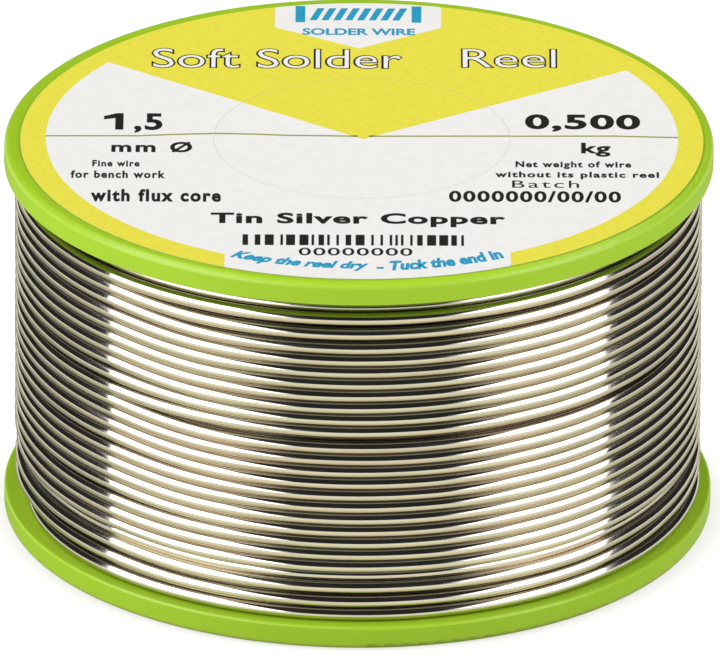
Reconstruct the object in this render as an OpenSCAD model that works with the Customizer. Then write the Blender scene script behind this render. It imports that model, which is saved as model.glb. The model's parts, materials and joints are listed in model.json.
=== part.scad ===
// Reel of flux-cored solder wire, standing on its lower flange.
// Two moulded reel halves snap together at mid height. The wire is wound in layers
// that nest in each other's grooves, and its outer end can be lifted off the winding.
// Millimetres. +Z is up the reel's axis, and the origin is the centre of the lower face.
// Directions round the axis are in degrees from +X, towards +Y. The front is -Y.

/* [Reel] */
// Diameter of both flanges
flange_d = 80; // [78.5:0.5:90]
// Height over both flanges
reel_h = 45; // [36:1:60]
// Thickness of a flange
flange_t = 2.8; // [2:0.1:3]
// Rounding of a flange's outer edge
edge_r = 0.8; // [0.3:0.1:1]
// Rounding of a flange's edge on the side of the wire
inner_edge_r = 0.3; // [0.2:0.1:0.8]
// Diameter of the bore that takes a spindle
bore_d = 31; // [20:1:34]
// Thickness of the barrel and of the bore's sleeve
wall_t = 1.6; // [1.4:0.1:2]
// Ribs between sleeve and barrel in each half
rib_count = 6; // [3:1:10]

/* [Wire] */
// Diameter of the wire
wire_d = 1.5; // [1:0.1:1.6]
// Diameter of the flux inside the wire
flux_d = 0.65; // [0.4:0.01:0.8]
// Diameter over the finished winding
winding_d = 77.6; // [74:0.1:77.8]
// Layers of wire
layer_count = 9; // [3:1:9]
// Links that make the free end, which can bend between them
link_count = 6; // [6]
// Direction of the point where the free end leaves the winding
free_end_start = 55; // [40:1:70]
// Arc of one link, which is also how far it can straighten
link_angle = 15; // [8:1:15]

/* [Label] */
// Diameter of the paper label
label_d = 77; // [70:0.1:77]
// Thickness of the paper with its glue
label_t = 0.12; // [0.08:0.01:0.3]
// How far the label sits from the reel's axis, along X and Y
label_shift = [0.33, -0.5];
// Diameter of the disc that tears out of the label's middle
tear_out_d = 33.5; // [32.6:0.1:40]
// How far that disc sits from the reel's axis, along X and Y
tear_out_shift = [0.33, -0.1];

/* [Hidden] */
$fn = 96;
eps = 0.1;
inf = 1e9;

// Reel
flange_r = flange_d / 2;
mid_z = reel_h / 2;
bore_r = bore_d / 2;
sleeve_r = bore_r + wall_t;
bore_chamfer = 0.6;
seam_gap = 0.05;
spigot_h = 3;
spigot_gap = 0.05;
snap_r = 0.3;
snap_bulge = 0.15;
snap_up = 2;
rib_t = 1.2;
rib_root = 0.4;
rib_end_gap = 0.5;
start_hole_d = 2.2;
start_hole_angle = 30;

// Winding: the pitch leaves a hair between turns, and a few gaps are wider, as a
// quick winding leaves them. Each pair holds a turn, counted up from the lower flange,
// and the extra gap above it. A layer lies in the grooves of the one below, which puts
// it out by nearly sin(60) of the wire's diameter.
turn_gap = 0.005;
nesting = 0.8735;
barrel_gap = 0.02;
pitch = wire_d + turn_gap;
layer_step = wire_d * nesting;
loose_gaps = [[1, 0.15], [2, 0.8], [13, 0.4], [21, 0.17], [22, 0.18]];
winding_gap = 0.05;
web_t = 0.3;
free_end_room = 1.4;
first_turn_z = flange_t + winding_gap + wire_d / 2;
winding_room = reel_h - 2 * flange_t - 2 * winding_gap - free_end_room - gaps_below(inf);
turns = floor((winding_room - wire_d) / pitch) + 1;
last_turn = turns - 1;
outer_turn_r = winding_d / 2 - wire_d / 2;
barrel_r = layer_r(1) - wire_d / 2 - barrel_gap;
start_pin_slim = 0.1;
start_pin_d = wire_d - start_pin_slim;
start_pin_end = 0.3;
start_pin_sink = 0.2;
flux_gap = 0.01;

// Free end: a fixed arc of the last turn runs round the front to the first link.
last_arc = 235;
link_gap = 0.25;
tip_link = link_count;

// Label
cut_w = 0.08;

function gaps_below(turn, n = 0) =
    n == len(loose_gaps) ? 0
    : (loose_gaps[n][0] < turn ? loose_gaps[n][1] : 0) + gaps_below(turn, n + 1);
function turn_z(turn) = first_turn_z + turn * pitch + gaps_below(turn);
function layer_r(layer) = outer_turn_r - (layer_count - layer) * layer_step;
// Every second layer lies in the grooves of the next, half a pitch higher.
function layer_lift(layer) = (layer_count - layer) % 2 == 0 ? 0 : pitch / 2;
function link_start(link) = free_end_start + (link - 1) * link_angle;
function arc_angle(length) = length / outer_turn_r * 180 / PI;

// ---- Reel halves ----

// Half section of a flange, as if it lay on z = 0
module flange_section() {
    inner_edge_z = flange_t - inner_edge_r;
    translate([bore_r, 0]) square([flange_r - edge_r - bore_r, inner_edge_z]);
    translate([bore_r, edge_r]) square([flange_r - bore_r, inner_edge_z - edge_r]);
    translate([bore_r, edge_r]) square([flange_r - inner_edge_r - bore_r, flange_t - edge_r]);
    translate([flange_r - edge_r, edge_r]) circle(edge_r);
    translate([flange_r - inner_edge_r, inner_edge_z]) circle(inner_edge_r);
}

// Half section of the lower half, which both halves share up to their seam
module half_section() {
    difference() {
        union() {
            flange_section();
            translate([bore_r, 0]) square([wall_t, mid_z - seam_gap / 2]);
            translate([barrel_r - wall_t, 0]) square([wall_t, mid_z - seam_gap / 2]);
        }
        translate([bore_r, 0]) rotate(45) square(bore_chamfer * sqrt(2), center = true);
    }
}

module ribs(top) {
    for (n = [0:rib_count - 1])
        rotate(n * 360 / rib_count)
            translate([sleeve_r - rib_root, -rib_t / 2, flange_t - eps])
                cube([barrel_r - wall_t - sleeve_r + 2 * rib_root, rib_t, top - flange_t + eps]);
}

// The spigot is half the barrel's wall, and its bead snaps into the upper half's groove.
module spigot_section(grow, bead_r) {
    translate([barrel_r - wall_t, mid_z - seam_gap / 2 - eps])
        square([wall_t / 2 + grow, spigot_h + eps + grow + seam_gap / 2]);
    translate([barrel_r - wall_t / 2 - snap_bulge, mid_z + snap_up]) circle(bead_r);
}

module lower_reel_half() {
    color("yellowgreen")
    difference() {
        union() {
            rotate_extrude() {
                half_section();
                spigot_section(0, snap_r);
            }
            ribs(mid_z - rib_end_gap);
        }
        // The wire's inner end leaves through this hole.
        rotate(start_hole_angle) translate([layer_r(1), 0, -eps])
            cylinder(d = start_hole_d, h = flange_t + 2 * eps);
    }
}

module upper_reel_half() {
    color("yellowgreen")
    difference() {
        translate([0, 0, reel_h]) mirror([0, 0, 1]) union() {
            rotate_extrude() half_section();
            ribs(mid_z - spigot_h - rib_end_gap);
        }
        rotate_extrude() difference() {
            spigot_section(spigot_gap, snap_r + spigot_gap);
            translate([0, mid_z - reel_h]) square([bore_r, reel_h]);
        }
    }
}

// ---- Label ----

module label_sheet(d, shift) {
    translate([shift.x, shift.y, reel_h]) cylinder(d = d, h = label_t);
}

module face_label() {
    color("khaki") difference() {
        label_sheet(label_d, label_shift);
        translate([tear_out_shift.x, tear_out_shift.y, reel_h - eps])
            cylinder(d = tear_out_d, h = label_t + 2 * eps);
    }
}

module label_centre_disc() {
    color("whitesmoke") label_sheet(tear_out_d - 2 * cut_w, tear_out_shift);
}

// ---- Wire ----

// One layer: its turns stand on a thin web that makes the layer one solid.
module wire_layer(layer) {
    top_turn = layer == layer_count ? last_turn - 1 : last_turn;
    r = layer_r(layer);
    lift = layer_lift(layer);
    color("silver") {
        rotate_extrude() {
            for (turn = [0:top_turn])
                translate([r, turn_z(turn) + lift]) circle(d = wire_d);
            translate([r - web_t / 2, turn_z(0) + lift])
                square([web_t, turn_z(top_turn) - turn_z(0)]);
        }
        if (layer == layer_count) last_turn_arc();
        if (layer == 1) start_pin();
    }
}

// The last turn stops where the free end begins, and its web stands on the turn below.
module last_turn_arc() {
    from = free_end_start - last_arc;
    to = free_end_start - arc_angle(link_gap);
    wire_arc(from, to);
    rotate(from) rotate_extrude(angle = to - from)
        translate([outer_turn_r - web_t / 2, turn_z(last_turn - 1)])
            square([web_t, turn_z(last_turn) - turn_z(last_turn - 1)]);
}

// The inner end, bent down through the lower flange
module start_pin() {
    top = turn_z(0) + layer_lift(1) - start_pin_sink;
    rotate(start_hole_angle) translate([layer_r(1), 0, start_pin_end])
        cylinder(d = start_pin_d, h = top - start_pin_end);
}

// An arc of wire in the last turn, from one direction to another, with a bore if asked
module wire_arc(from, to, bore = 0) {
    translate([0, 0, turn_z(last_turn)]) rotate(from)
        rotate_extrude(angle = to - from) translate([outer_turn_r, 0]) difference() {
            circle(d = wire_d);
            if (bore > 0) circle(d = bore);
        }
}

module wire_end(link) {
    color("silver")
        wire_arc(link_start(link), link_start(link + 1) - arc_angle(link_gap),
                 link == tip_link ? flux_d : 0);
}

module flux_core() {
    color("goldenrod") translate([0, 0, turn_z(last_turn)]) rotate(link_start(tip_link))
        rotate_extrude(angle = link_angle - arc_angle(link_gap))
            translate([outer_turn_r, 0]) circle(d = flux_d - 2 * flux_gap);
}

lower_reel_half();
upper_reel_half();
face_label();
label_centre_disc();
for (n = [1:layer_count])
    wire_layer(n);
for (n = [1:link_count])
    wire_end(n);
flux_core();
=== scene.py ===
"""The looks of a reel of solder wire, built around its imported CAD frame.

The frame gives the reel halves, the paper label and the inner layers of wire, and they only get
materials. The outer layer of wire and its free end are rebuilt here as one drawn wire wound in a
helix, and the label gets its print. Lengths are in metres unless a name ends in _MM or _mm, and
directions round the reel's axis are in degrees from +X towards +Y, so that the front is at -90.
"""

import json
import math
import random

import bmesh
import bpy
import numpy as np
from mathutils import Matrix, Vector


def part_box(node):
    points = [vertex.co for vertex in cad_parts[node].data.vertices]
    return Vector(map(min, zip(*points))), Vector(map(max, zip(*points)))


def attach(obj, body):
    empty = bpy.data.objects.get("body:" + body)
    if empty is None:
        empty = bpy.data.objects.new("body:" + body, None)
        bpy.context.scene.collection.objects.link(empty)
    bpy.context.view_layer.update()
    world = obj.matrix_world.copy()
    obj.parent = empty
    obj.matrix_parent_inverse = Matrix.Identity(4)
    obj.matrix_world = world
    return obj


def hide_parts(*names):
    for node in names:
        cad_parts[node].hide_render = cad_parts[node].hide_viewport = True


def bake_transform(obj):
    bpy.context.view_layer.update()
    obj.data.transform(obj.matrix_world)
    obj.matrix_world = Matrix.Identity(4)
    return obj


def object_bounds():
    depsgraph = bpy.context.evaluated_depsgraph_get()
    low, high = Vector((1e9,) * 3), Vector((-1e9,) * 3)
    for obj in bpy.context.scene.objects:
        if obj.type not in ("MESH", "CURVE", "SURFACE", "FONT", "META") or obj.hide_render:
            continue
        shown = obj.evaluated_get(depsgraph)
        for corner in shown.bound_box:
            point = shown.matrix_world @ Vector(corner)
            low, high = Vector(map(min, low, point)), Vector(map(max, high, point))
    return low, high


MM = 0.001
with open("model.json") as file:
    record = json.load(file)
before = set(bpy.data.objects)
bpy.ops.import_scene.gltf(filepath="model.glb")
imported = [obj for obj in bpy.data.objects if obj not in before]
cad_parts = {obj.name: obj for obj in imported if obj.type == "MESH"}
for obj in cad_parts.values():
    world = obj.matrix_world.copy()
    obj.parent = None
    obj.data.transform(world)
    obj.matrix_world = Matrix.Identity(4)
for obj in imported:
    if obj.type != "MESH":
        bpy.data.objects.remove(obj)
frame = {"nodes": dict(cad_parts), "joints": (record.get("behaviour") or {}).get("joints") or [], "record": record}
cad_low, cad_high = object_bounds()

# ---- Sizes read from the frame ----

WIRE_LOW, WIRE_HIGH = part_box("wire_end_1")
LAYER_LOW, LAYER_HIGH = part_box("wire_layer_9")
LABEL_LOW, LABEL_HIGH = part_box("face_label")
DISC_LOW, DISC_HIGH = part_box("label_centre_disc")

# Solder wire is drawn a little under its stated size.
STATED_WIRE_D = WIRE_HIGH.z - WIRE_LOW.z
DRAWN_SHARE = 0.97
WIRE_R = DRAWN_SHARE * STATED_WIRE_D / 2
COIL_R = LAYER_HIGH.x - STATED_WIRE_D / 2
FIRST_TURN_Z = LAYER_LOW.z + WIRE_R
LAST_TURN_DROP = 0.17 * MM
LAST_TURN_Z = (WIRE_HIGH.z + WIRE_LOW.z) / 2 - LAST_TURN_DROP
LABEL_TOP = LABEL_HIGH.z
LABEL_CENTRE = (LABEL_LOW + LABEL_HIGH) / 2
LABEL_R = (LABEL_HIGH.x - LABEL_LOW.x) / 2
DISC_CENTRE = (DISC_LOW + DISC_HIGH) / 2
DISC_R = (DISC_HIGH.x - DISC_LOW.x) / 2
BEND_JOINTS = [joint for joint in frame["joints"] if joint["type"] == "hinge"]

# ---- Mesh helpers ----

# An edge sharper than this, in degrees, such as the edge of a tube's cap, is shaded as an edge.
SHARP_ANGLE = 60


def new_piece(name, mesh, material, body="reel"):
    """A mesh as a named piece that rides on a body, or on nothing if body is None."""
    piece = bpy.data.objects.new(name, mesh)
    bpy.context.scene.collection.objects.link(piece)
    mesh.materials.clear()
    mesh.materials.append(material)
    if body:
        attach(piece, body)
    return piece


def smooth(start, end, value):
    """0 up to start, 1 from end on, and a soft ramp between them. The end may be the lower one."""
    share = min(1.0, max(0.0, (value - start) / (end - start)))
    return share * share * (3 - 2 * share)


def tube_faces(rings, sides):
    """Four-sided faces between neighbouring rings, and a cap at each end."""
    faces = []
    for i in range(rings - 1):
        for j in range(sides):
            k = (j + 1) % sides
            faces.append((i * sides + j, i * sides + k, (i + 1) * sides + k, (i + 1) * sides + j))
    faces.append(tuple(range(sides - 1, -1, -1)))
    faces.append(tuple((rings - 1) * sides + j for j in range(sides)))
    return faces


def tube_mesh(name, centres, outward, radius, sides):
    """A closed round tube. Each ring has a centre and an outward direction."""
    centres, outward = np.array(centres), np.array(outward)
    along = np.gradient(centres, axis=0)
    along /= np.linalg.norm(along, axis=1)[:, None]
    across = np.cross(along, outward)
    across /= np.linalg.norm(across, axis=1)[:, None]
    flat = np.cross(across, along)
    turn = np.arange(sides) * 2 * math.pi / sides
    ring = (
        flat[:, None, :] * np.cos(turn)[None, :, None]
        + across[:, None, :] * np.sin(turn)[None, :, None]
    )
    points = centres[:, None, :] + ring * radius
    mesh = bpy.data.meshes.new(name)
    mesh.from_pydata(points.reshape(-1, 3).tolist(), [], tube_faces(len(centres), sides))
    mesh.update()
    mesh.shade_smooth()
    mesh.set_sharp_from_angle(angle=math.radians(SHARP_ANGLE))
    return mesh


# ---- Materials ----


def new_material(name):
    """A material with its node tree and its shader."""
    material = bpy.data.materials.new(name)
    material.use_nodes = True
    tree = material.node_tree
    return material, tree, tree.nodes["Principled BSDF"]


def object_noise(tree, scale, detail=4.0, stretch=(1, 1, 1)):
    """Noise in the object's own metres. Scale is in features per metre."""
    where = tree.nodes.new("ShaderNodeTexCoord")
    mapping = tree.nodes.new("ShaderNodeMapping")
    mapping.inputs["Scale"].default_value = stretch
    noise = tree.nodes.new("ShaderNodeTexNoise")
    noise.inputs["Scale"].default_value = scale
    noise.inputs["Detail"].default_value = detail
    tree.links.new(where.outputs["Object"], mapping.inputs["Vector"])
    tree.links.new(mapping.outputs["Vector"], noise.inputs["Vector"])
    return noise.outputs["Fac"]


def ramp(tree, value, low, high, span=(0.3, 0.7)):
    """Maps the values in a span, such as most of a noise's, onto the range from low to high."""
    node = tree.nodes.new("ShaderNodeMapRange")
    node.inputs["From Min"].default_value, node.inputs["From Max"].default_value = span
    node.inputs["To Min"].default_value, node.inputs["To Max"].default_value = low, high
    tree.links.new(value, node.inputs["Value"])
    return node.outputs["Result"]


def mix_colours(tree, share, first, second):
    """Goes from the first colour to the second. Either may be the output of a node."""
    node = tree.nodes.new("ShaderNodeMix")
    node.data_type = "RGBA"
    for socket, colour in ((node.inputs["A"], first), (node.inputs["B"], second)):
        if isinstance(colour, tuple):
            socket.default_value = (*colour, 1)
        else:
            tree.links.new(colour, socket)
    tree.links.new(share, node.inputs["Factor"])
    return node.outputs["Result"]


def calc(tree, operation, first, second=None):
    """The result of a sum. Either value may be a number or the output of a node."""
    node = tree.nodes.new("ShaderNodeMath")
    node.operation = operation
    for socket, value in zip(node.inputs, (first, second)):
        if isinstance(value, (int, float)):
            socket.default_value = value
        elif value is not None:
            tree.links.new(value, socket)
    return node.outputs[0]


def add_bump(tree, shader, height, depth):
    """Roughens a shader's surface, as deep as depth where the height is 1."""
    node = tree.nodes.new("ShaderNodeBump")
    node.inputs["Strength"].default_value = 1.0
    node.inputs["Distance"].default_value = depth
    tree.links.new(height, node.inputs["Height"])
    tree.links.new(node.outputs["Normal"], shader.inputs["Normal"])


def moulded_plastic():
    """Lime-green polystyrene: glossy, faintly mottled and a little translucent. Rounded edges get a
    paler colour as a painted highlight."""
    material, tree, shader = new_material("reel_plastic")
    mottle = ramp(tree, object_noise(tree, 60, 3), 0, 1)
    colour = mix_colours(tree, mottle, (0.350, 0.590, 0.020), (0.368, 0.612, 0.024))
    geometry = tree.nodes.new("ShaderNodeNewGeometry")
    split = tree.nodes.new("ShaderNodeSeparateXYZ")
    tree.links.new(geometry.outputs["Normal"], split.inputs[0])
    steepness = calc(tree, "ABSOLUTE", split.outputs["Z"])
    # Faces that lean between upright and level, on the rounded edges, get a paler colour: a painted highlight.
    leaving = ramp(tree, steepness, 0, 1, (0.02, 0.3))
    arriving = ramp(tree, steepness, 1, 0, (0.45, 0.8))
    painted_edge_highlight = calc(tree, "MULTIPLY", leaving, arriving)
    colour = mix_colours(tree, painted_edge_highlight, colour, (0.42, 0.65, 0.05))
    tree.links.new(colour, shader.inputs["Base Color"])
    tree.links.new(ramp(tree, object_noise(tree, 300, 4), 0.30, 0.36), shader.inputs["Roughness"])
    shader.inputs["Subsurface Weight"].default_value = 0.10
    shader.inputs["Subsurface Radius"].default_value = (0.6, 1.0, 0.2)
    shader.inputs["Subsurface Scale"].default_value = 1.5 * MM
    shader.inputs["IOR"].default_value = 1.55
    shader.inputs["Specular IOR Level"].default_value = 0.35
    add_bump(tree, shader, object_noise(tree, 250, 2), 0.002 * MM)
    return material


def along_wire_noise(tree, around_scale, across_scale, detail=3.0):
    """Noise in streaks that run round the reel's axis, as die lines run along the wire."""
    where = tree.nodes.new("ShaderNodeTexCoord")
    split = tree.nodes.new("ShaderNodeSeparateXYZ")
    tree.links.new(where.outputs["Object"], split.inputs[0])
    x, y, z = (split.outputs[axis] for axis in "XYZ")
    angle = calc(tree, "ARCTAN2", y, x)
    squares = calc(tree, "ADD", calc(tree, "MULTIPLY", x, x), calc(tree, "MULTIPLY", y, y))
    radius = calc(tree, "SQRT", squares)
    join = tree.nodes.new("ShaderNodeCombineXYZ")
    tree.links.new(calc(tree, "MULTIPLY", angle, COIL_R * around_scale), join.inputs["X"])
    tree.links.new(calc(tree, "MULTIPLY", radius, across_scale), join.inputs["Y"])
    tree.links.new(calc(tree, "MULTIPLY", z, across_scale), join.inputs["Z"])
    noise = tree.nodes.new("ShaderNodeTexNoise")
    noise.inputs["Scale"].default_value = 1.0
    noise.inputs["Detail"].default_value = detail
    tree.links.new(join.outputs[0], noise.inputs["Vector"])
    return noise.outputs["Fac"]


def drawn_solder(name, brightness, roughness):
    """Tin alloy, warmer on some turns, with faint die lines and a few dull patches."""
    material, tree, shader = new_material(name)
    warmth = ramp(tree, along_wire_noise(tree, 12, 450), 0, 1, (0.38, 0.62))
    cool, warm, dull = (
        tuple(brightness * c for c in tint)
        for tint in ((0.84, 0.84, 0.76), (0.88, 0.82, 0.77), (0.62, 0.60, 0.55))
    )
    tint = mix_colours(tree, warmth, cool, warm)
    patches = ramp(tree, along_wire_noise(tree, 60, 900), 0, 0.6, (0.45, 0.75))
    tree.links.new(mix_colours(tree, patches, tint, dull), shader.inputs["Base Color"])
    shader.inputs["Metallic"].default_value = 1.0
    scuffs = ramp(tree, along_wire_noise(tree, 120, 2500, 4), roughness, roughness + 0.10)
    tree.links.new(scuffs, shader.inputs["Roughness"])
    add_bump(tree, shader, along_wire_noise(tree, 90, 4000), 0.0015 * MM)
    return material


def coated_paper():
    """White label paper with a faint fibre mottle, and a darker green cut edge: painted shade, tinted as a painted
    reflection of the plastic.
    """
    material, tree, shader = new_material("label_paper")
    mottle = ramp(tree, object_noise(tree, 900, 5), 0, 1)
    face = mix_colours(tree, mottle, (0.87, 0.87, 0.865), (0.91, 0.91, 0.905))
    geometry = tree.nodes.new("ShaderNodeNewGeometry")
    split = tree.nodes.new("ShaderNodeSeparateXYZ")
    tree.links.new(geometry.outputs["True Normal"], split.inputs[0])
    # Faces that don't face up, the cut edge, get the darker green: painted shade and a painted reflection of the
    # plastic.
    upward = ramp(tree, split.outputs["Z"], 0, 1, (0.4, 0.6))
    colour = mix_colours(tree, upward, (0.36, 0.46, 0.08), face)
    tree.links.new(colour, shader.inputs["Base Color"])
    shader.inputs["Roughness"].default_value = 0.5
    shader.inputs["Specular IOR Level"].default_value = 0.3
    add_bump(tree, shader, object_noise(tree, 2500, 4), 0.002 * MM)
    return material


def print_ink(name, colour, roughness=0.45):
    """Ink whose density varies a little, as offset print does."""
    material, tree, shader = new_material(name)
    density = ramp(tree, object_noise(tree, 1200, 4), 0, 1)
    lighter = tuple(min(1.0, c * 1.06 + 0.004) for c in colour)
    tree.links.new(mix_colours(tree, density, colour, lighter), shader.inputs["Base Color"])
    shader.inputs["Roughness"].default_value = roughness
    shader.inputs["Specular IOR Level"].default_value = 0.3
    return material


def flux_resin():
    """Amber rosin that fills the wire."""
    material, tree, shader = new_material("flux_resin")
    cloud = ramp(tree, object_noise(tree, 3000, 3), 0, 1)
    tree.links.new(
        mix_colours(tree, cloud, (0.45, 0.20, 0.03), (0.62, 0.32, 0.07)),
        shader.inputs["Base Color"],
    )
    shader.inputs["Roughness"].default_value = 0.3
    shader.inputs["Subsurface Weight"].default_value = 0.3
    shader.inputs["Subsurface Scale"].default_value = 0.3 * MM
    return material


PLASTIC = moulded_plastic()
SOLDER = drawn_solder("solder_wire", 1.0, 0.05)
# The inner layers' solder is a darker copy of the outer layer's, as painted shade, and rougher.
SHADED_INNER_SOLDER = drawn_solder("inner_solder_wire_painted_shade", 0.85, 0.12)
PAPER = coated_paper()
RESIN = flux_resin()
YELLOW_INK = print_ink("yellow_ink", (0.82, 0.755, 0.070))
RULE_INK = print_ink("rule_ink", (0.32, 0.32, 0.02))
BLACK_INK = print_ink("black_ink", (0.016, 0.013, 0.011))
BLUE_INK = print_ink("blue_ink", (0.020, 0.330, 0.560))
WHITE_INK = print_ink("white_ink", (0.88, 0.88, 0.87))
FIBRES = print_ink("paper_fibres", (0.74, 0.74, 0.68), 0.7)


def dress_frame():
    """Gives each CAD node that stays in sight its material."""
    looks = {
        "reel_plastic": PLASTIC,
        "label_paper": PAPER,
        "solder_wire": SHADED_INNER_SOLDER,
        "flux": RESIN,
    }
    for part in frame["record"]["subparts"]:
        mesh = frame["nodes"][part["node"]].data
        mesh.materials.clear()
        mesh.materials.append(looks[part["material_slot"]])


# ---- The wire ----

TURNS = 25
COIL_SIDES = 24
COIL_STEPS = 164
# Each turn climbs to the next one between these directions, at the reel's left and behind it.
RISE_START, RISE_END = 148.0, 200.0
# The wire comes up from the layer below, a step further in, between these directions. It
# starts a little before them.
LEAD_IN_START, LEAD_IN_END = -190.0, -145.0
LEAD_IN_HIDDEN = 10
LAYER_STEP = 1.31 * MM
# The extra room above some turns, in millimetres, where the winding is loose (or tight, if
# negative): at the left of the reel, at its front and at its right.
LEFT_GAPS_MM = {0: 0.25, 1: 0.27, 2: -0.19, 3: -0.19, 6: 0.20, 10: 0.16, 15: 0.22, 16: 0.14, 21: 0.12}
FRONT_GAPS_MM = {0: 0.14, 1: 0.27, 2: -0.19, 3: -0.19, 14: 0.56, 22: 0.30, 23: 0.38}
RIGHT_GAPS_MM = {0: 0.95, 2: -0.19, 3: -0.19, 13: 0.10, 14: 0.25, 22: 0.15, 23: 0.20}
# One turn is squeezed inwards between its neighbours, which stand closer than two radii.
SQUEEZED_TURN, SQUEEZED_BY = 3, 0.62 * MM
# The front's gaps turn into the left's, the front's into the right's, and the right's into the
# left's, each between two directions.
LEFT_FROM, LEFT_TO = -112.0, -136.0
RIGHT_FROM, RIGHT_TO = -52.0, -8.0
BACK_FROM, BACK_TO = 30.0, 110.0
# The wire's slight kinks: waves to a turn, their size in millimetres and their phase.
KINKS = ((7.13, 0.020, 0.3), (13.37, 0.014, 2.1), (23.71, 0.007, 4.4))
GAP_SEED = 7
WAVE_SHARE = 0.01
SLACK = LAST_TURN_Z - FIRST_TURN_Z - (TURNS - 1) * 2 * WIRE_R


def gap_waves(seed):
    """For each gap, a slow wave round the reel that shares the slack out unevenly."""
    rng = random.Random(seed)
    return [(rng.uniform(0, 360), rng.choice((1, 2, 3)), rng.uniform(0.3, 1.0)) for _ in range(TURNS)]


GAP_WAVES = gap_waves(GAP_SEED)


def sidedness(azimuth):
    """How far a direction belongs to the reel's left and to its right, each from 0 to 1."""
    wrapped = (azimuth + 180) % 360 - 180
    behind = smooth(BACK_FROM, BACK_TO, wrapped)
    left = smooth(LEFT_FROM, LEFT_TO, wrapped) + behind
    right = smooth(RIGHT_FROM, RIGHT_TO, wrapped) * (1 - behind)
    return left, right


def turn_heights(azimuth):
    """The height of each turn's centre in one direction, from the lowest turn up."""
    left, right = sidedness(azimuth)
    shares = []
    for gap in range(TURNS - 1):
        phase, waves, size = GAP_WAVES[gap]
        share = WAVE_SHARE * size * (1 + math.sin(math.radians(waves * azimuth + phase)))
        share += FRONT_GAPS_MM.get(gap, 0) * (1 - right - left)
        share += RIGHT_GAPS_MM.get(gap, 0) * right + LEFT_GAPS_MM.get(gap, 0) * left
        shares.append(share)
    total = sum(shares)
    heights = [FIRST_TURN_Z]
    for share in shares:
        heights.append(heights[-1] + 2 * WIRE_R + SLACK * share / total)
    return heights


def kinks(angle):
    """How far the wire strays in or out, in slow waves that differ from turn to turn."""
    turned = math.radians(angle)
    return MM * sum(size * math.sin(count * turned + phase) for count, size, phase in KINKS)


def squeezed_in(angle):
    """How far inwards the squeezed turn is, with soft steps at its ends."""
    before = 360 * (SQUEEZED_TURN - 1)
    after = 360 * SQUEEZED_TURN
    entered = smooth(before + RISE_START, before + RISE_END, angle)
    left = smooth(after + RISE_START, after + RISE_END, angle)
    return SQUEEZED_BY * (entered - left)


def coil_point(angle):
    """A point of the outer layer's path. The angle runs on from turn to turn."""
    turn = math.floor((angle - RISE_END) / 360) + 1
    turn = min(max(turn, 0), TURNS - 1)
    heights = turn_heights(angle)
    height = heights[turn]
    within = angle - 360 * turn
    if within > RISE_START and turn < TURNS - 1:
        height += (heights[turn + 1] - height) * smooth(RISE_START, RISE_END, within)
    radius = COIL_R + kinks(angle) - squeezed_in(angle)
    radius -= LAYER_STEP * (1 - smooth(LEAD_IN_START, LEAD_IN_END, angle))
    around = math.radians(angle)
    return (radius * math.cos(around), radius * math.sin(around), height)


def wire_piece(name, start, end, steps):
    """The outer wire from one running angle to another, as a closed tube."""
    angles = np.linspace(start, end, steps + 1)
    centres = [coil_point(angle) for angle in angles]
    outward = [(math.cos(math.radians(a)), math.sin(math.radians(a)), 0) for a in angles]
    return tube_mesh(name, centres, outward, WIRE_R, COIL_SIDES)


def joint_angle(joint):
    """The direction of a bend joint, as a running angle on the last turn."""
    x, y, _ = joint["pos_m"]
    return math.degrees(math.atan2(y, x)) + 360 * (TURNS - 1)


HALF_LINK = (joint_angle(BEND_JOINTS[1]) - joint_angle(BEND_JOINTS[0])) / 2


def wind_outer_layer():
    """The outer layer, from its lead-in at the lower flange to half a link before the free end."""
    start = LEAD_IN_START - LEAD_IN_HIDDEN
    end = joint_angle(BEND_JOINTS[0]) - HALF_LINK
    steps = int((end - start) / 360 * COIL_STEPS)
    coil = new_piece("outer_winding", wire_piece("outer_winding", start, end, steps), SOLDER)
    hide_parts("wire_layer_9")


# The wire's tip ends this much, in degrees, before a full link.
TIP_GAP = 0.38
# Points of the winding this many degrees to either side of each joint are worked out, and not used.
BEND_SPAN = 4.5
LINK_STEPS = 26


def lay_free_end():
    """The free end: one piece round each joint, riding on no body, which meets its neighbours in mid-link."""
    for joint in BEND_JOINTS:
        middle = joint_angle(joint)
        last = joint is BEND_JOINTS[-1]
        end = middle + (2 * HALF_LINK - TIP_GAP if last else HALF_LINK)
        mesh = wire_piece(joint["name"], middle - HALF_LINK, end, LINK_STEPS)
        name = joint["child"].replace("wire_end", "free_wire")
        piece = new_piece(name, mesh, SOLDER, body=None)
        coil_point(middle - BEND_SPAN)
        coil_point(middle + BEND_SPAN)
        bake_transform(piece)
        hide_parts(joint["child"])


# ---- The label's print, in millimetres: u to the right, v up ----

# It starts from the middle of the disc, and the paper was cut out a little off that.
PAPER_MIDDLE = tuple((LABEL_CENTRE.xy - DISC_CENTRE.xy) / MM)
# Ink lies from a little inside the paper to a little above it. The title has two more coats.
INK_LOW_MM, INK_MM = -0.004, 0.012
TITLE_EDGE_MM, TITLE_MM = 0.02, 0.028
TITLE_EDGE_WIDTH = 0.2
# The fibres in the cut round the disc lie under the print and overlap both sides of the cut.
FIBRES_LOW_MM, FIBRES_MM = -0.06, -0.014
FIBRES_OVERLAP_MM = 0.01
# Their ring stops a hair short of a full turn, in degrees, so that it is one plain outline.
NEARLY_ROUND = 359.9
# The print stops a hair inside the paper's edge, and the yellow ring's inner edge is a circle.
EDGE_INSET_MM = 0.005
EDGE_R_MM = LABEL_R / MM - EDGE_INSET_MM
RING_R_MM = 35.65
# The cut round the disc, and the thin rule across the label
CUT_MM = 0.08
DISC_R_MM = DISC_R / MM
CUT_R_MM = DISC_R_MM + CUT_MM
RULE_WIDTH = 0.34
# The heights of the curved words are measured inwards from a circle of this radius.
ARCH_R_MM = 37.6
BAR_SEED = 11
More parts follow.
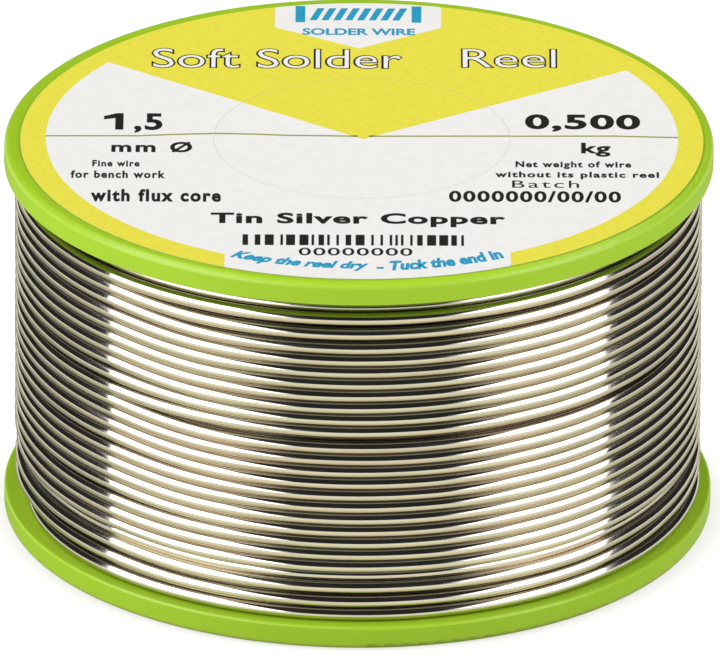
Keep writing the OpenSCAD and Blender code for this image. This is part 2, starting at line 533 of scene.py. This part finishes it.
# The yellow field's lower edge is a wide V: its tip, and where its sides meet the ring.
V_TIP = (0.15, -0.25)
V_LEFT = (-28.7, 21.0)
V_RIGHT = (29.9, 19.35)
# The ring has a gap for the curved words, and the field has one for the badge.
RING_GAP = (-15.3, 16.7)
BADGE_LEFT, BADGE_RIGHT = -9.95, 8.95
BADGE_SIDE_END, BADGE_TIP = 31.1, (-0.4, 25.2)


def arc(radius, start, end, middle=(0.0, 0.0), step=2.0):
    """Points on a circle from one direction to another, either way round."""
    count = max(2, int(abs(end - start) / step) + 1)
    turns = [math.radians(start + (end - start) * i / (count - 1)) for i in range(count)]
    return [(middle[0] + radius * math.cos(a), middle[1] + radius * math.sin(a)) for a in turns]


def direction(point):
    """The direction from the origin to a point, in degrees."""
    return math.degrees(math.atan2(point[1], point[0]))


def on_circle(radius, u, upper, middle=(0.0, 0.0)):
    """The direction, from a circle's middle, of its point at a given u."""
    angle = math.degrees(math.acos((u - middle[0]) / radius))
    return angle if upper else -angle


def cross_circle(inner, outer, radius):
    """Where the line from a point inside a circle about the origin to one outside crosses it."""
    a, d = Vector(inner), Vector(outer) - Vector(inner)
    half_b = a.dot(d)
    reach = -half_b + math.sqrt(half_b**2 - d.length_squared * (a.length_squared - radius**2))
    return tuple(a + d * (reach / d.length_squared))


def ink_solid(outline, low_mm=INK_LOW_MM, high_mm=INK_MM):
    """A thin closed plate of ink, as a bmesh."""
    plate = bmesh.new()
    bottom = [plate.verts.new((u, v, low_mm)) for u, v in outline]
    face = plate.faces.new(bottom)
    made = bmesh.ops.extrude_face_region(plate, geom=[face])
    lifted = [item for item in made["geom"] if isinstance(item, bmesh.types.BMVert)]
    bmesh.ops.translate(plate, verts=lifted, vec=(0, 0, high_mm - low_mm))
    bmesh.ops.recalc_face_normals(plate, faces=plate.faces)
    bmesh.ops.triangulate(plate, faces=[f for f in plate.faces if len(f.verts) > 4])
    return plate


def ink_piece(name, plates, material):
    """Joins plates of ink into one piece that lies on the label."""
    joined = bpy.data.meshes.new(name)
    whole = bmesh.new()
    for plate in plates:
        scrap = bpy.data.meshes.new("scrap")
        plate.to_mesh(scrap)
        plate.free()
        whole.from_mesh(scrap)
        bpy.data.meshes.remove(scrap)
    whole.to_mesh(joined)
    whole.free()
    joined.transform(
        Matrix.Translation((DISC_CENTRE.x, DISC_CENTRE.y, LABEL_TOP)) @ Matrix.Scale(MM, 4)
    )
    new_piece(name, joined, material)


def plain_letters(words, bold, italic, spread):
    """Words in Blender's own letters, at no set size, as a bmesh."""
    curve = bpy.data.curves.new("words", "FONT")
    curve.body = words
    curve.offset = bold
    curve.shear = italic
    curve.space_character = spread
    curve.extrude = 0.5
    curve.resolution_u = 4
    scrap = bpy.data.objects.new("words", curve)
    bpy.context.scene.collection.objects.link(scrap)
    mesh = bpy.data.meshes.new_from_object(
        scrap.evaluated_get(bpy.context.evaluated_depsgraph_get())
    )
    plate = bmesh.new()
    plate.from_mesh(mesh)
    bpy.data.objects.remove(scrap)
    bpy.data.curves.remove(curve)
    bpy.data.meshes.remove(mesh)
    bmesh.ops.remove_doubles(plate, verts=plate.verts, dist=1e-5)
    return plate


def letters(words, box, bold=0.0, italic=0.0, spread=1.0, high_mm=INK_MM, arch_r=None):
    """Words stretched to fill a box (left, low, right, high), as a bmesh.

    With arch_r, the words follow a circle, and their feet point away from its centre.
    """
    plate = plain_letters(words, bold, italic, spread)
    low = [min(v.co[i] for v in plate.verts) for i in range(3)]
    high = [max(v.co[i] for v in plate.verts) for i in range(3)]
    left, bottom, right, top = box
    for vert in plate.verts:
        share = [(vert.co[i] - low[i]) / (high[i] - low[i]) for i in range(3)]
        u = left + (right - left) * share[0]
        v = bottom + (top - bottom) * share[1]
        if arch_r:
            turn = math.radians(-90) + u / arch_r
            u, v = (arch_r - v) * math.cos(turn), (arch_r - v) * math.sin(turn)
        vert.co = (u, v, INK_LOW_MM + (high_mm - INK_LOW_MM) * share[2])
    return plate


def yellow_field():
    """The yellow ring and the field behind the V, on the part of the label round the disc."""
    left_cut = cross_circle(V_TIP, V_LEFT, CUT_R_MM)
    right_cut = cross_circle(V_TIP, V_RIGHT, CUT_R_MM)
    gap_left, gap_right = RING_GAP

    def edge(u, upper):
        return on_circle(EDGE_R_MM, u, upper, PAPER_MIDDLE)

    outline = arc(EDGE_R_MM, edge(gap_right, False), edge(BADGE_RIGHT, True), PAPER_MIDDLE)
    outline += [(BADGE_RIGHT, BADGE_SIDE_END), BADGE_TIP, (BADGE_LEFT, BADGE_SIDE_END)]
    outline += arc(EDGE_R_MM, edge(BADGE_LEFT, True), 360 + edge(gap_left, False), PAPER_MIDDLE)
    outline += arc(RING_R_MM, 360 + on_circle(RING_R_MM, gap_left, False), direction(V_LEFT))
    outline += arc(CUT_R_MM, direction(left_cut), direction(right_cut))
    outline += arc(RING_R_MM, direction(V_RIGHT), on_circle(RING_R_MM, gap_right, False))
    return outline


def disc_field():
    """The tip of the yellow field, on the disc."""
    left = cross_circle(V_TIP, V_LEFT, DISC_R_MM)
    right = cross_circle(V_TIP, V_RIGHT, DISC_R_MM)
    return [V_TIP] + arc(DISC_R_MM, direction(right), direction(left))


def rule_plates():
    """A thin rule across the label, which rides up a little towards the disc's left edge."""
    runs = (
        ((-RING_R_MM, 0.28), (-25.0, 0.40), (-21.5, 0.80), (-CUT_R_MM, 1.12)),
        ((-DISC_R_MM, 1.15), (-12.5, 1.02), (-8.5, 0.70), (-0.5, 0.55)),
        ((0.8, 0.55), (DISC_R_MM, 0.75)),
        ((CUT_R_MM, 0.72), (28.5, 0.88), (31.0, 0.75), (RING_R_MM, 0.52)),
    )
    half = RULE_WIDTH / 2
    plates = []
    for run in runs:
        lower = [(u, v - half) for u, v in run]
        upper = [(u, v + half) for u, v in reversed(run)]
        plates.append(ink_solid(lower + upper))
    return plates


def cut_fibres():
    """The torn fibres that nearly close the cut round the disc, as a ring just under the print."""
    outline = arc(CUT_R_MM + FIBRES_OVERLAP_MM, 0, NEARLY_ROUND)
    outline += arc(DISC_R_MM - FIBRES_OVERLAP_MM, NEARLY_ROUND, 0)
    return ink_solid(outline, low_mm=FIBRES_LOW_MM, high_mm=FIBRES_MM)


def box_outline(left, low, right, high):
    """The corners of a box."""
    return [(left, low), (right, low), (right, high), (left, high)]


def bar_code(left, low, right, high):
    """Made-up bars, with no code in them."""
    rng = random.Random(BAR_SEED)
    plates = []
    u = left
    while u < right - 0.5:
        width = rng.choice((0.28, 0.28, 0.62, 0.62, 1.0))
        plates.append(ink_solid(box_outline(u, low, min(u + width, right), high)))
        u += width + rng.choice((0.35, 0.5, 0.75))
    return plates


def reel_sign(left, low, right, high):
    """A plain sign of a reel seen from the side: two flanges with slanting turns between them."""
    flange, turn, slant, turns = 1.1, 0.8, 0.9, 8
    beside, inset = 0.5, 0.6
    plates = [
        ink_solid(box_outline(left, low, left + flange, high)),
        ink_solid(box_outline(right - flange, low, right, high)),
    ]
    first = left + flange + beside
    step = (right - left - 2 * flange - 2 * beside - slant - turn) / (turns - 1)
    top, bottom = high - inset, low + inset
    for i in range(turns):
        u = first + i * step
        outline = [(u, bottom), (u + turn, bottom), (u + turn + slant, top), (u + slant, top)]
        plates.append(ink_solid(outline))
    return plates


def figure_one(left, low, right, high):
    """A figure 1 with a flag and a straight stem."""
    stem = (right - left) * 0.42
    flag = (high - low) * 0.2
    outline = [(right - stem, low), (right, low), (right, high), (right - stem * 0.8, high)]
    outline += [(left, high - flag * 0.9), (left, high - flag * 1.9), (right - stem, high - flag * 1.5)]
    return ink_solid(outline)


def black_plates():
    """The label's black words, figures and bars."""
    plates = [
        figure_one(-29.1, 2.1, -26.9, 6.7),
        letters(",5", (-25.7, 1.2, -22.5, 6.7), bold=0.03, spread=1.1),
        letters("mm Ø", (-28.2, -4.2, -19.1, -1.2), bold=0.03, spread=1.2),
        letters("Fine wire", (-30.3, -8.2, -25.0, -6.4), bold=0.035, spread=1.2),
        letters("for bench work", (-32.7, -11.4, -22.1, -9.3), bold=0.035, spread=1.2),
        letters("with flux core", (-30.4, -17.9, -15.8, -14.4), bold=0.04, spread=1.2),
        letters("0,500", (18.4, 2.0, 31.4, 6.9), bold=0.035, spread=1.1),
        letters("kg", (24.7, -4.9, 28.0, -1.0), bold=0.03, spread=1.1),
        letters("Net weight of wire", (17.3, -8.4, 30.3, -6.2), bold=0.035, spread=1.2),
        letters("without its plastic reel", (15.0, -11.2, 33.4, -9.1), bold=0.035, spread=1.2),
        letters("Batch", (16.9, -13.6, 24.4, -11.6), bold=0.0, spread=1.2),
        letters("0000000/00/00", (9.8, -17.6, 29.1, -14.5), bold=0.03, spread=1.15),
        letters("Tin Silver Copper", (-16.9, -24.6, 16.1, -20.8), bold=0.035, spread=1.1),
        letters("00000000", (-7.0, -32.5, 5.7, -30.4), bold=0.01, spread=1.1),
    ]
    return plates + bar_code(-13.3, -29.7, 12.2, -26.8)


def blue_plates():
    """The sign and the words of the badge, and the words along the label's edge."""
    plates = [
        letters("SOLDER WIRE", (-6.8, 29.0, 6.0, 30.9), bold=0.03),
        letters("Keep the reel dry", (-15.8, 0.9, 0.9, 3.5), bold=0.045, italic=0.3, arch_r=ARCH_R_MM),
        letters("Tuck the end in", (3.4, 0.9, 17.2, 3.5), bold=0.045, italic=0.3, arch_r=ARCH_R_MM),
        ink_solid(box_outline(1.7, -36.1, 2.5, -35.6)),
    ]
    return plates + reel_sign(-7.6, 32.6, 6.7, 37.2)


def print_title():
    """The title's white letters, each on a slightly larger black one."""
    titles = (("Soft Solder", (-23.7, 19.6, 4.4, 24.9)), ("Reel", (11.4, 20.0, 21.9, 25.1)))
    edge = TITLE_EDGE_WIDTH
    dark = []
    white = []
    for words, (left, low, right, high) in titles:
        dark_box = (left - edge, low - edge, right + edge, high + edge)
        dark.append(letters(words, dark_box, bold=0.024, high_mm=TITLE_EDGE_MM))
        white.append(letters(words, (left, low, right, high), bold=-0.008, high_mm=TITLE_MM))
    ink_piece("title_outline_print", dark, BLACK_INK)
    ink_piece("title_white_print", white, WHITE_INK)


def print_label():
    """Prints the label and its disc, and closes the cut between them with fibres."""
    ink_piece("label_yellow_print", [ink_solid(yellow_field())], YELLOW_INK)
    ink_piece("disc_yellow_print", [ink_solid(disc_field())], YELLOW_INK)
    ink_piece("label_rule", rule_plates(), RULE_INK)
    ink_piece("disc_cut_fibres", [cut_fibres()], FIBRES)
    ink_piece("label_black_print", black_plates(), BLACK_INK)
    ink_piece("label_blue_print", blue_plates(), BLUE_INK)
    print_title()


# ---- Stage, light and camera ----

CAMERA_DISTANCE = 3.39
CAMERA_ELEVATION = 24.15
CAMERA_ROLL = 0.25
CAMERA_LENS = 1500.0
CAMERA_SENSOR = 36.0
CAMERA_SHIFT = (0.0026, -0.0125)
# Ray depths above these are second mirrorings. The world's rays are counted one higher.
FLOOR_AGAIN, WORLD_AGAIN = 1.5, 2.5
# The share of the light that a second mirroring loses
FLOOR_LOSS, WORLD_LOSS = 0.68, 0.65
FLOOR_HALF = 40.0
FLOOR_DROP = 0.02 * MM
FLOOR_GLOW = 0.84
# The share of the floor's glow left at the reel's foot, and how far out the glow is whole again:
# as the camera sees it, and as it lights the reel. The dimming is a painted shadow round the foot.
SEEN_AT_FOOT, SEEN_REACH_MM = 0.80, 3.5
LIGHT_AT_FOOT, LIGHT_REACH_MM = 0.35, 40.0
# Each softbox ends at its outer side, its inner side, its foot and its top: where the full light
# ends, and the width over which it fades, in degrees.
LEFT_BOX = ((45.2, 1.2), (21.5, 4.0), (15.5, 5.0), (62.0, 12.0))
RIGHT_BOX = ((45.3, 1.2), (26.5, 5.5), (22.0, 12.0), (62.0, 12.0))
# The inner sides slant, and this is the lift at which they are where the boxes say.
BOX_SLANT, SLANT_LIFT = 0.36, 35.0
BOX_LIGHT, STUDIO_LIGHT = 3.75, 0.02


def mix_shaders(tree, share, first, second):
    """Goes from the first shader to the second."""
    node = tree.nodes.new("ShaderNodeMixShader")
    tree.links.new(share, node.inputs["Fac"])
    tree.links.new(first, node.inputs[1])
    tree.links.new(second, node.inputs[2])
    return node.outputs[0]


def mirrored_again(tree, depth):
    """1 for rays past a depth, which are second mirrorings, and 0 for the others."""
    path = tree.nodes.new("ShaderNodeLightPath")
    return calc(tree, "GREATER_THAN", path.outputs["Ray Depth"], depth)


def mirrored_floor(tree):
    """The floor as the wire mirrors it, as a painted reflection: a glow that only glossy rays see.

    It is pale far off and tan underneath, darker behind the reel (most of all at the left) as
    painted shade, and dimmer again in the second mirroring between two turns.
    """
    geometry = tree.nodes.new("ShaderNodeNewGeometry")
    split = tree.nodes.new("ShaderNodeSeparateXYZ")
    tree.links.new(geometry.outputs["Incoming"], split.inputs[0])
    steep = ramp(tree, split.outputs["Z"], 0, 1, (0.0, 0.45))
    steeper = ramp(tree, split.outputs["Z"], 0, 1, (0.55, 1.0))
    colour = mix_colours(tree, steep, (0.86, 0.86, 0.76), (0.82, 0.78, 0.54))
    colour = mix_colours(tree, steeper, colour, (0.60, 0.50, 0.30))
    behind = ramp(tree, split.outputs["Y"], 1, 0, (-0.5, 0.3))
    leftward = ramp(tree, split.outputs["X"], 0.45, 0.62, (-0.3, 0.3))
    deep = ramp(tree, split.outputs["Z"], 0, 1, (0.03, 0.35))
    shade = calc(tree, "MULTIPLY", calc(tree, "MULTIPLY", behind, deep), leftward)
    again = mirrored_again(tree, FLOOR_AGAIN)
    fade = calc(tree, "SUBTRACT", 1.0, calc(tree, "MULTIPLY", again, FLOOR_LOSS))
    strength = calc(tree, "MULTIPLY", calc(tree, "SUBTRACT", 1.0, shade), fade)
    glow = tree.nodes.new("ShaderNodeEmission")
    tree.links.new(colour, glow.inputs["Color"])
    tree.links.new(strength, glow.inputs["Strength"])
    return glow.outputs[0]


def painted_foot_shadow(tree, at_foot, reach_mm):
    """A painted shadow round the reel's foot: rises from a value at the reel's foot to 1 at a distance from it."""
    geometry = tree.nodes.new("ShaderNodeNewGeometry")
    distance = tree.nodes.new("ShaderNodeVectorMath")
    distance.operation = "LENGTH"
    tree.links.new(geometry.outputs["Position"], distance.inputs[0])
    start = cad_high.x - 0.5 * MM
    node = tree.nodes.new("ShaderNodeMapRange")
    node.interpolation_type = "SMOOTHSTEP"
    node.inputs["From Min"].default_value = start
    node.inputs["From Max"].default_value = start + reach_mm * MM
    node.inputs["To Min"].default_value = at_foot
    tree.links.new(distance.outputs["Value"], node.inputs["Value"])
    return node.outputs["Result"]


def lay_floor():
    """A white floor that glows, so that only a faint shadow shows round the reel's foot. That shadow is partly
    cast and partly painted into the glow.
    """
    mesh = bpy.data.meshes.new("floor")
    half = FLOOR_HALF
    corners = [(-half, -half, 0), (half, -half, 0), (half, half, 0), (-half, half, 0)]
    mesh.from_pydata(corners, [], [(0, 1, 2, 3)])
    floor = bpy.data.objects.new("floor", mesh)
    bpy.context.scene.collection.objects.link(floor)
    floor.location.z = -FLOOR_DROP
    mesh.materials.append(pale_floor())


def pale_floor():
    """Looks white to the camera, lights the reel faintly, and is mirrored in the wire as tan. Near the reel's foot
    its glow is dimmed as a painted shadow, both as seen and as it lights the reel.
    """
    material, tree, shader = new_material("pale_floor")
    shader.inputs["Base Color"].default_value = (0.32, 0.32, 0.32, 1)
    shader.inputs["Roughness"].default_value = 0.9
    shader.inputs["Specular IOR Level"].default_value = 0.0
    shader.inputs["Emission Color"].default_value = (1.0, 0.995, 0.985, 1)
    seen = calc(tree, "MULTIPLY", painted_foot_shadow(tree, SEEN_AT_FOOT, SEEN_REACH_MM), FLOOR_GLOW)
    tree.links.new(seen, shader.inputs["Emission Strength"])
    path = tree.nodes.new("ShaderNodeLightPath")
    bounce = tree.nodes.new("ShaderNodeEmission")
    bounce.inputs["Color"].default_value = (0.74, 0.72, 0.62, 1)
    tree.links.new(painted_foot_shadow(tree, LIGHT_AT_FOOT, LIGHT_REACH_MM), bounce.inputs["Strength"])
    other = mix_shaders(tree, path.outputs["Is Glossy Ray"], bounce.outputs[0], mirrored_floor(tree))
    mixed = mix_shaders(tree, path.outputs["Is Camera Ray"], other, shader.outputs[0])
    tree.links.new(mixed, tree.nodes["Material Output"].inputs["Surface"])
    material.cycles.emission_sampling = "NONE"
    return material


def band(tree, value, low, high, soft_low, soft_high):
    """1 between low and high, falling to 0 over the soft widths outside them."""
    rise = tree.nodes.new("ShaderNodeMapRange")
    rise.interpolation_type = "SMOOTHSTEP"
    rise.inputs["From Min"].default_value = low - soft_low
    rise.inputs["From Max"].default_value = low
    fall = tree.nodes.new("ShaderNodeMapRange")
    fall.interpolation_type = "SMOOTHSTEP"
    fall.inputs["From Min"].default_value = high
    fall.inputs["From Max"].default_value = high + soft_high
    fall.inputs["To Min"].default_value, fall.inputs["To Max"].default_value = 1, 0
    tree.links.new(value, rise.inputs["Value"])
    tree.links.new(value, fall.inputs["Value"])
    return calc(tree, "MULTIPLY", rise.outputs["Result"], fall.outputs["Result"])


def softbox(tree, aside, lift, edges):
    """1 inside a softbox, where aside is how far to its side of the camera a wire faces."""
    outer, inner, foot, top = edges
    slant = calc(tree, "MULTIPLY", calc(tree, "SUBTRACT", lift, SLANT_LIFT), BOX_SLANT)
    within = calc(
        tree,
        "MULTIPLY",
        band(tree, aside, -90.0, outer[0], 1.0, outer[1]),
        band(tree, calc(tree, "SUBTRACT", aside, slant), inner[0], 90.0, inner[1], 1.0),
    )
    return calc(tree, "MULTIPLY", within, band(tree, lift, foot[0], top[0], foot[1], top[1]))


def wire_facing(tree):
    """Which way a wire faces, to the right and upwards, when it mirrors the world to the camera."""
    where = tree.nodes.new("ShaderNodeTexCoord")
    tilt = math.radians(CAMERA_ELEVATION)
    half_way = tree.nodes.new("ShaderNodeVectorMath")
    half_way.operation = "ADD"
    half_way.inputs[1].default_value = (0, -math.cos(tilt), math.sin(tilt))
    unit = tree.nodes.new("ShaderNodeVectorMath")
    unit.operation = "NORMALIZE"
    split = tree.nodes.new("ShaderNodeSeparateXYZ")
    tree.links.new(where.outputs["Generated"], half_way.inputs[0])
    tree.links.new(half_way.outputs[0], unit.inputs[0])
    tree.links.new(unit.outputs[0], split.inputs[0])
    forward = calc(tree, "MULTIPLY", split.outputs["Y"], -1.0)
    facing = calc(tree, "ARCTAN2", split.outputs["X"], forward)
    lift = calc(tree, "ARCSINE", split.outputs["Z"])
    degrees = 180 / math.pi
    return calc(tree, "MULTIPLY", facing, degrees), calc(tree, "MULTIPLY", lift, degrees)


def softbox_light(tree):
    """The light of both softboxes, weaker and warmer where the wire mirrors it a second time."""
    facing, lift = wire_facing(tree)
    left = softbox(tree, calc(tree, "MULTIPLY", facing, -1.0), lift, LEFT_BOX)
    right = softbox(tree, facing, lift, RIGHT_BOX)
    boxes = calc(tree, "MULTIPLY", calc(tree, "ADD", left, right), BOX_LIGHT)
    again = mirrored_again(tree, WORLD_AGAIN)
    fade = calc(tree, "SUBTRACT", 1.0, calc(tree, "MULTIPLY", again, WORLD_LOSS))
    light = tree.nodes.new("ShaderNodeBackground")
    colour = mix_colours(tree, again, (1.0, 0.99, 0.97), (1.0, 0.84, 0.60))
    tree.links.new(colour, light.inputs["Color"])
    strength = calc(tree, "MULTIPLY", calc(tree, "ADD", boxes, STUDIO_LIGHT), fade)
    tree.links.new(strength, light.inputs["Strength"])
    return light.outputs[0]


def hang_softboxes():
    """Two tall softboxes, at the left and the right of the camera, in a dark studio.

    Their edges are set by the direction in which a wire faces when it mirrors them to the
    camera, so that they end at the same place on every turn of the winding. The camera itself
    sees white.
    """
    world = bpy.data.worlds.new("studio")
    bpy.context.scene.world = world
    world.use_nodes = True
    tree = world.node_tree
    tree.nodes.clear()
    path = tree.nodes.new("ShaderNodeLightPath")
    seen = tree.nodes.new("ShaderNodeBackground")
    seen.inputs["Color"].default_value = (1, 1, 1, 1)
    output = tree.nodes.new("ShaderNodeOutputWorld")
    mixed = mix_shaders(tree, path.outputs["Is Camera Ray"], softbox_light(tree), seen.outputs[0])
    tree.links.new(mixed, output.inputs["Surface"])


def place_camera():
    """A distant camera in front of the reel, looking down at it."""
    camera = bpy.data.cameras.new("camera")
    camera.lens = CAMERA_LENS
    camera.sensor_width = CAMERA_SENSOR
    camera.shift_x, camera.shift_y = CAMERA_SHIFT
    holder = bpy.data.objects.new("camera", camera)
    bpy.context.scene.collection.objects.link(holder)
    tilt = math.radians(CAMERA_ELEVATION)
    back = Vector((0, -math.cos(tilt), math.sin(tilt)))
    target = Vector((0, 0, cad_high.z / 2))
    turn = (-back).to_track_quat("-Z", "Y").to_matrix().to_4x4()
    roll = Matrix.Rotation(math.radians(CAMERA_ROLL), 4, "Z")
    holder.matrix_world = Matrix.Translation(target + back * CAMERA_DISTANCE) @ turn @ roll
    bpy.context.scene.camera = holder


dress_frame()
wind_outer_layer()
lay_free_end()
print_label()
lay_floor()
hang_softboxes()
place_camera()
bpy.context.scene.view_settings.view_transform = "Standard"
